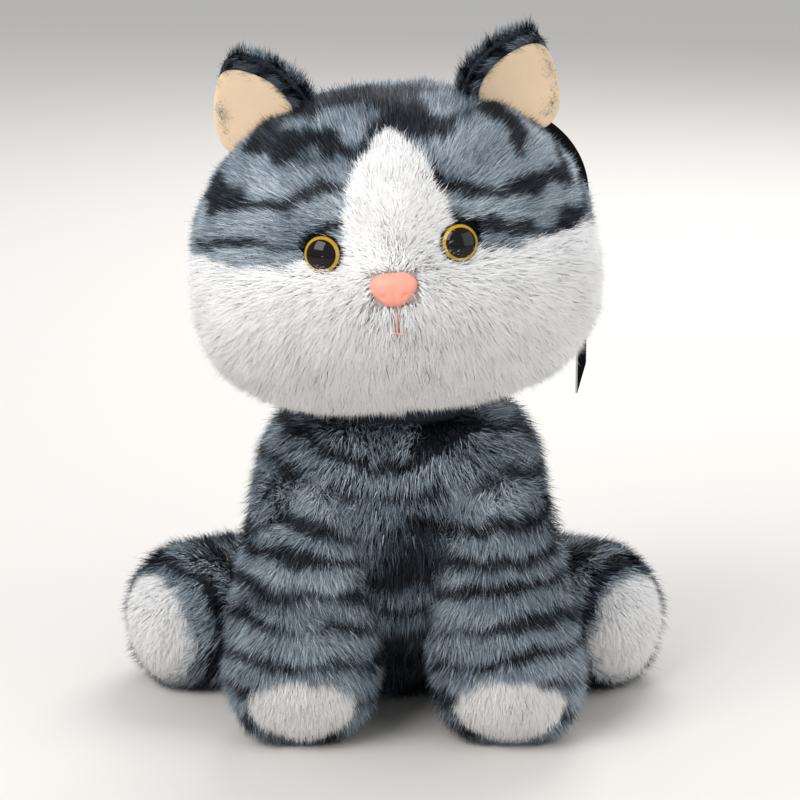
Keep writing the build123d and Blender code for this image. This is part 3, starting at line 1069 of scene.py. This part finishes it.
@dataclass
class Ear:
    """One ear: fur behind and on the rim, cupped velour lining in front."""

    side: str
    hand: float
    axes: HeadAxes
    base: tuple[float, float, float] = (40.5 * MM, 6 * MM, 43 * MM)
    shift: float = 2.0 * MM
    spread: float = math.radians(28)
    turn: float = math.radians(32)
    half_width: float = 23 * MM
    height: float = 43 * MM
    thickness: float = 3.4 * MM
    cup: float = 7 * MM

    @property
    def outer(self) -> float:
        """Sign of the across direction that points away from the head's middle."""
        return float(np.sign(self.frame()[1] @ self.axes.x) * self.hand)

    def frame(self) -> tuple[Array, Array, Array, Array]:
        """Find the ear's own axes.

        Returns:
            Base point, across, facing and up directions.
        """
        tilt, hand = self.spread, self.hand
        up = self.axes.x * hand * math.sin(tilt) + self.axes.z * math.cos(tilt)
        facing = self.axes.x * hand * math.sin(self.turn) - self.axes.y * math.cos(self.turn)
        facing = facing - up * facing.dot(up)
        facing /= np.linalg.norm(facing)
        across = np.cross(up, facing)
        local = np.array((hand * self.base[0] + self.shift, self.base[1], self.base[2]))[None]
        return self.axes.outward(local)[0], across, facing, up

    def leaf(
        self, name: str, scale: float, forward: float, thickness: float, aside: float = 0.0
    ) -> bpy.types.Object:
        """Model a cupped, pointed leaf.

        Args:
            name: the piece's name.
            scale: its size against the whole ear.
            forward: how far it sits in front.
            thickness: half of its thickness.
            aside: how far it sits across the ear.

        Returns:
            The leaf.
        """
        base, across, facing, up = self.frame()
        bpy.ops.mesh.primitive_uv_sphere_add(segments=64, ring_count=48, radius=1.0)
        made = edit_mesh(name)
        x, y, z = vertices_of(made).T
        rise = (z + 1) / 2
        narrow = 1.0 - 0.5 * rise**1.4
        wide = x * narrow * self.half_width * 1.12 * scale + aside
        lift = (rise * scale + (1 - scale) * 0.55) * self.height - 4 * MM
        cup = self.cup * (wide / self.half_width) ** 2 - 3.0 * MM * np.sin(math.pi * rise)
        deep = y * thickness + cup + forward
        set_vertices(made, base + wide[:, None] * across + deep[:, None] * facing + lift[:, None] * up)
        bpy.ops.object.shade_smooth()
        return made

    def dress(self) -> None:
        """Make the ear's two layers and its fur."""
        body = f"ear_{self.side}"
        cloth = self.leaf(f"ear_cloth_{self.side}", 1.0, 0.0, self.thickness)
        keep_cloth(cloth, body, TABBY_CLOTH_AND_SHADE, ())
        outward = self.outer * 2.2 * MM
        lining = self.leaf(f"ear_lining_velour_{self.side}", 0.84, 5.2 * MM, 2.0 * MM, outward)
        lining.data.materials.append(VELOUR.material())
        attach(lining, body)
        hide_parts(f"ear_lining_{self.side}")
        base, across, facing, up = self.frame()

        def region(points: Array) -> Array:
            """The back of the ear, its inner rim and its tip."""
            away = points - base
            front = away @ facing - self.cup * ((away @ across) / self.half_width) ** 2
            rise = np.clip((away @ up + 4 * MM) / self.height, 0, 1)
            half = self.half_width * 1.12 * (1.0 - 0.5 * rise**1.4) * np.sqrt(1 - (2 * rise - 1) ** 2 + 0.01)
            side = (away @ across) * self.outer
            rim = (side < -0.60 * half) | (rise > 0.92)
            return ((front < -3.0 * MM * np.sin(math.pi * rise) + 0.9 * MM) | rim).astype(float)

        def shade(points: Array) -> Array:
            """Cross stripes up the ear."""
            away = (points - base) @ up
            pulse = np.cos(2 * math.pi * (away + 2 * MM * ripple(points, 14 * MM, 2.0)) / (13 * MM))
            return 0.56 - 0.44 * smooth_step(0.0, 0.8, pulse)

        coat = Coat(
            f"ear_fur_{self.side}", 17000, TABBY, region,
            lambda p: np.tile(up * 0.8 - facing * 0.1, (len(p), 1)) + unit(p - base) * 0.5, shade,
            length=9.5 * MM, tuft=0.35, droop=0.05, replaces=(f"ear_back_{self.side}",),
        )
        coat.grow(cloth, body)


@dataclass
class Tail:
    """The bent tail behind the body."""

    pivot: tuple[float, float, float] = (0.0, 78.5 * MM, 14 * MM)
    start: float = 8 * MM
    bend_radius: float = 60 * MM
    bend: float = math.radians(85)
    radius: float = 8.5 * MM

    def middle(self, share: float) -> Array:
        """A point of the tail's middle line.

        Args:
            share: 0 at the base, 1 at the tip.

        Returns:
            The place in metres.
        """
        angle = self.bend * share
        x = -self.bend_radius * (1 - math.cos(angle))
        return np.array((x, self.pivot[1] + self.start + self.bend_radius * math.sin(angle), self.pivot[2]))

    def dress(self) -> None:
        """Make the tail's cloth and fur, and the seam at its base."""
        radii = np.full(14, self.radius)
        lumps = [Blob(tuple(self.middle(s)), (r, r, r)) for s, r in zip(np.linspace(0, 1, 14), radii)]
        cloth = stuffed_form("tail_cloth", lumps, 2 * MM, floor=0.6 * MM)
        keep_cloth(cloth, "tail", TABBY_CLOTH_AND_SHADE, ("tail_stuffing",))
        line = np.array([self.middle(s) for s in np.linspace(0, 1, 60)])

        def nearest(points: Array) -> Array:
            """Index of the nearest point of the middle line."""
            return np.linalg.norm(points[:, None] - line[None], axis=2).argmin(1)

        def comb(points: Array) -> Array:
            """Fur lies towards the tip."""
            return np.gradient(line, axis=0)[nearest(points)] / MM * 0.6

        def shade(points: Array) -> Array:
            """Rings along the tail."""
            run = nearest(points) / 59 * self.bend * self.bend_radius + 2 * MM * ripple(points, 14 * MM, 2.0)
            return 0.56 - 0.46 * smooth_step(0.0, 0.7, np.cos(2 * math.pi * run / (20 * MM)))

        Coat("tail_fur", 18000, TABBY, lambda p: (p[:, 2] > 1.2 * MM).astype(float), comb, shade,
             length=10 * MM, replaces=("tail_skin",)).grow(cloth, "tail")
        seam = stuffed_form("tail_seam_cloth", (Blob(self.pivot, (9 * MM,) * 3),), 2 * MM)
        keep_cloth(seam, "tail_root", TABBY_CLOTH_AND_SHADE, ("tail_seam",))
        Coat("tail_seam_fur", 3000, TABBY, lambda p: np.ones(len(p)),
             lambda p: unit(p - np.array(self.pivot)), lambda p: np.full(len(p), 0.4),
             length=8 * MM).grow(seam, "tail_root")


@dataclass
class Neck:
    """The gathered sleeve between torso and head."""

    radius: float = 27 * MM

    def dress(self) -> None:
        """Make the sleeve's plain cloth."""
        low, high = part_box("neck_sleeve")
        middle = (low + high) / 2
        blob = Blob(tuple(middle), (self.radius + 8 * MM, self.radius, 17 * MM), 2.4, 2.4)
        cloth = stuffed_form("neck_cloth", (blob,), 2.5 * MM)
        keep_cloth(cloth, "neck", TABBY_CLOTH_AND_SHADE, ("neck_sleeve",))


@dataclass
class HangTag:
    """The blank bent card and its plastic loop."""

    turn: float = 0.13
    inset: float = 1.5 * MM

    def dress(self) -> None:
        """Finish the card, with its pale cut edge, and the loop."""
        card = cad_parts["hang_tag_card"]
        copy = card.copy()
        copy.data = card.data.copy()
        for key in list(copy.keys()):
            del copy[key]
        copy.name = copy.data.name = "tag_card"
        copy.parent = None
        copy.matrix_world = Matrix.Identity(4)
        bpy.context.scene.collection.objects.link(copy)
        places = vertices_of(copy)
        places[:, 0] += self.turn * (places[:, 1] - places[:, 1].min()) - self.inset
        set_vertices(copy, places)
        copy.data.materials.clear()
        for finish in (CARD, CARD_EDGE):
            copy.data.materials.append(finish.material())
        low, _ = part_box("hang_tag_card")
        for polygon in copy.data.polygons:
            upright_rim = abs(polygon.normal.y) > 0.9
            foot = abs(polygon.normal.z) > 0.9 and polygon.center.z < low.z + 0.2 * MM
            polygon.material_index = int(upright_rim or foot)
        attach(copy, "hang_tag")
        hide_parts("hang_tag_card")
        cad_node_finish("hang_tag_loop", LOOP)


@dataclass
class Studio:
    """Floor, soft lights and the camera."""

    target: tuple[float, float, float] = (0.0, 0.0, 125 * MM)
    distance: float = 1200 * MM
    elevation: float = math.radians(14.5)
    scale: float = 0.41 * MM
    picture: int = 800

    def build(self) -> None:
        """Place the floor, the lights and the camera."""
        bpy.ops.mesh.primitive_plane_add(size=14.0, location=(0, 2.0, 0))
        floor = edit_mesh("studio_floor")
        floor.data.materials.append(Finish("pale_floor", colour(214, 210, 205), 0.8, 0.2).material())
        world = bpy.data.worlds.new("soft_room")
        world.use_nodes = True
        world.node_tree.nodes["Background"].inputs["Color"].default_value = (0.93, 0.96, 1.0, 1)
        world.node_tree.nodes["Background"].inputs["Strength"].default_value = 0.68
        bpy.context.scene.world = world
        bpy.context.scene.view_settings.view_transform = "Standard"
        self.light("key", (-0.75, -0.9, 1.05), 0.9, 16.5)
        self.light("fill", (1.1, -0.7, 0.6), 1.1, 5.5)
        self.light("rim", (0.3, 1.1, 1.1), 0.9, 14.0)
        self.camera()

    def light(self, name: str, place: tuple[float, float, float], size: float, power: float) -> None:
        """Add one square soft light that faces the cat.

        Args:
            name: its name.
            place: where it stands, in metres.
            size: its side.
            power: its watts.
        """
        lamp = bpy.data.lights.new(name, "AREA")
        lamp.size = size
        lamp.energy = power
        made = bpy.data.objects.new(name, lamp)
        made.location = place
        way = Vector(self.target) - Vector(place)
        made.rotation_euler = way.to_track_quat("-Z", "Y").to_euler()
        bpy.context.scene.collection.objects.link(made)

    def camera(self) -> None:
        """Stand the camera a little above the cat, in front of it."""
        lens = bpy.data.cameras.new("camera")
        lens.sensor_width = 36.0
        lens.lens = self.distance / self.scale * lens.sensor_width / self.picture
        lens.clip_start, lens.clip_end = 0.05, 60
        made = bpy.data.objects.new("camera", lens)
        away = Vector((0, -math.cos(self.elevation), math.sin(self.elevation)))
        made.location = Vector(self.target) + away * self.distance
        made.rotation_euler = (-away).to_track_quat("-Z", "Y").to_euler()
        bpy.context.scene.collection.objects.link(made)
        bpy.context.scene.camera = made


def legs() -> list[Limb]:
    """List the four legs.

    Returns:
        Their sizes and nodes.
    """
    made = []
    for side, hand in SIDES:
        paw_x = 43 * MM if side == "left" else -39 * MM
        made.append(Limb(
            f"front_leg_{side}", f"front_leg_{side}", (hand * 34 * MM, -44 * MM, 90 * MM),
            (paw_x, -53 * MM, 29.5 * MM), 27 * MM, 31 * MM, (0, -0.9, -0.36), 19 * MM, 14 * MM,
            (f"front_leg_front_panel_{side}", f"front_leg_back_panel_{side}"), f"front_paw_patch_{side}",
            f"front_leg_stuffing_{side}", (42000, 11000, 9000),
        ))
        hip = (58 * MM, 32 * MM, 28 * MM) if side == "left" else (-60 * MM, 32 * MM, 28 * MM)
        end = (79 * MM, 13 * MM, 28 * MM) if side == "left" else (-84 * MM, 13 * MM, 28 * MM)
        way = tuple(np.array(end) - np.array(hip))
        made.append(Limb(
            f"hind_leg_{side}", f"hind_leg_{side}", hip, end, 26 * MM, 29.5 * MM, way, 20 * MM, 20 * MM,
            (f"hind_leg_upper_panel_{side}", f"hind_leg_lower_panel_{side}"), f"hind_sole_patch_{side}",
            f"hind_leg_stuffing_{side}", (20000, 9000, 10000), 0.0, cloth_inset=3.5 * MM,
        ))
    return made


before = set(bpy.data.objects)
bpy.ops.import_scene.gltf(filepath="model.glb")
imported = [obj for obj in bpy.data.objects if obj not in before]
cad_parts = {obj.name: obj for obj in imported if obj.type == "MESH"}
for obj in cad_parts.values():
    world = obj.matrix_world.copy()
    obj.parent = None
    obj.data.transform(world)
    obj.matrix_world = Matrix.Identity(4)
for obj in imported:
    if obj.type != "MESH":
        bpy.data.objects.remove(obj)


def main() -> None:
    """Build every piece in order."""
    logging.basicConfig(level=logging.INFO, format="%(message)s")
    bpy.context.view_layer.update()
    head = Head()
    head.dress(head.build())
    torso = Torso()
    torso.dress(torso.build())
    for leg in legs():
        leg.dress(leg.build())
    for side, hand in SIDES:
        Ear(side, hand, head.axes).dress()
    Tail().dress()
    Neck().dress()
    HangTag().dress()
    Studio().build()


if __name__ == "__main__":
    main()
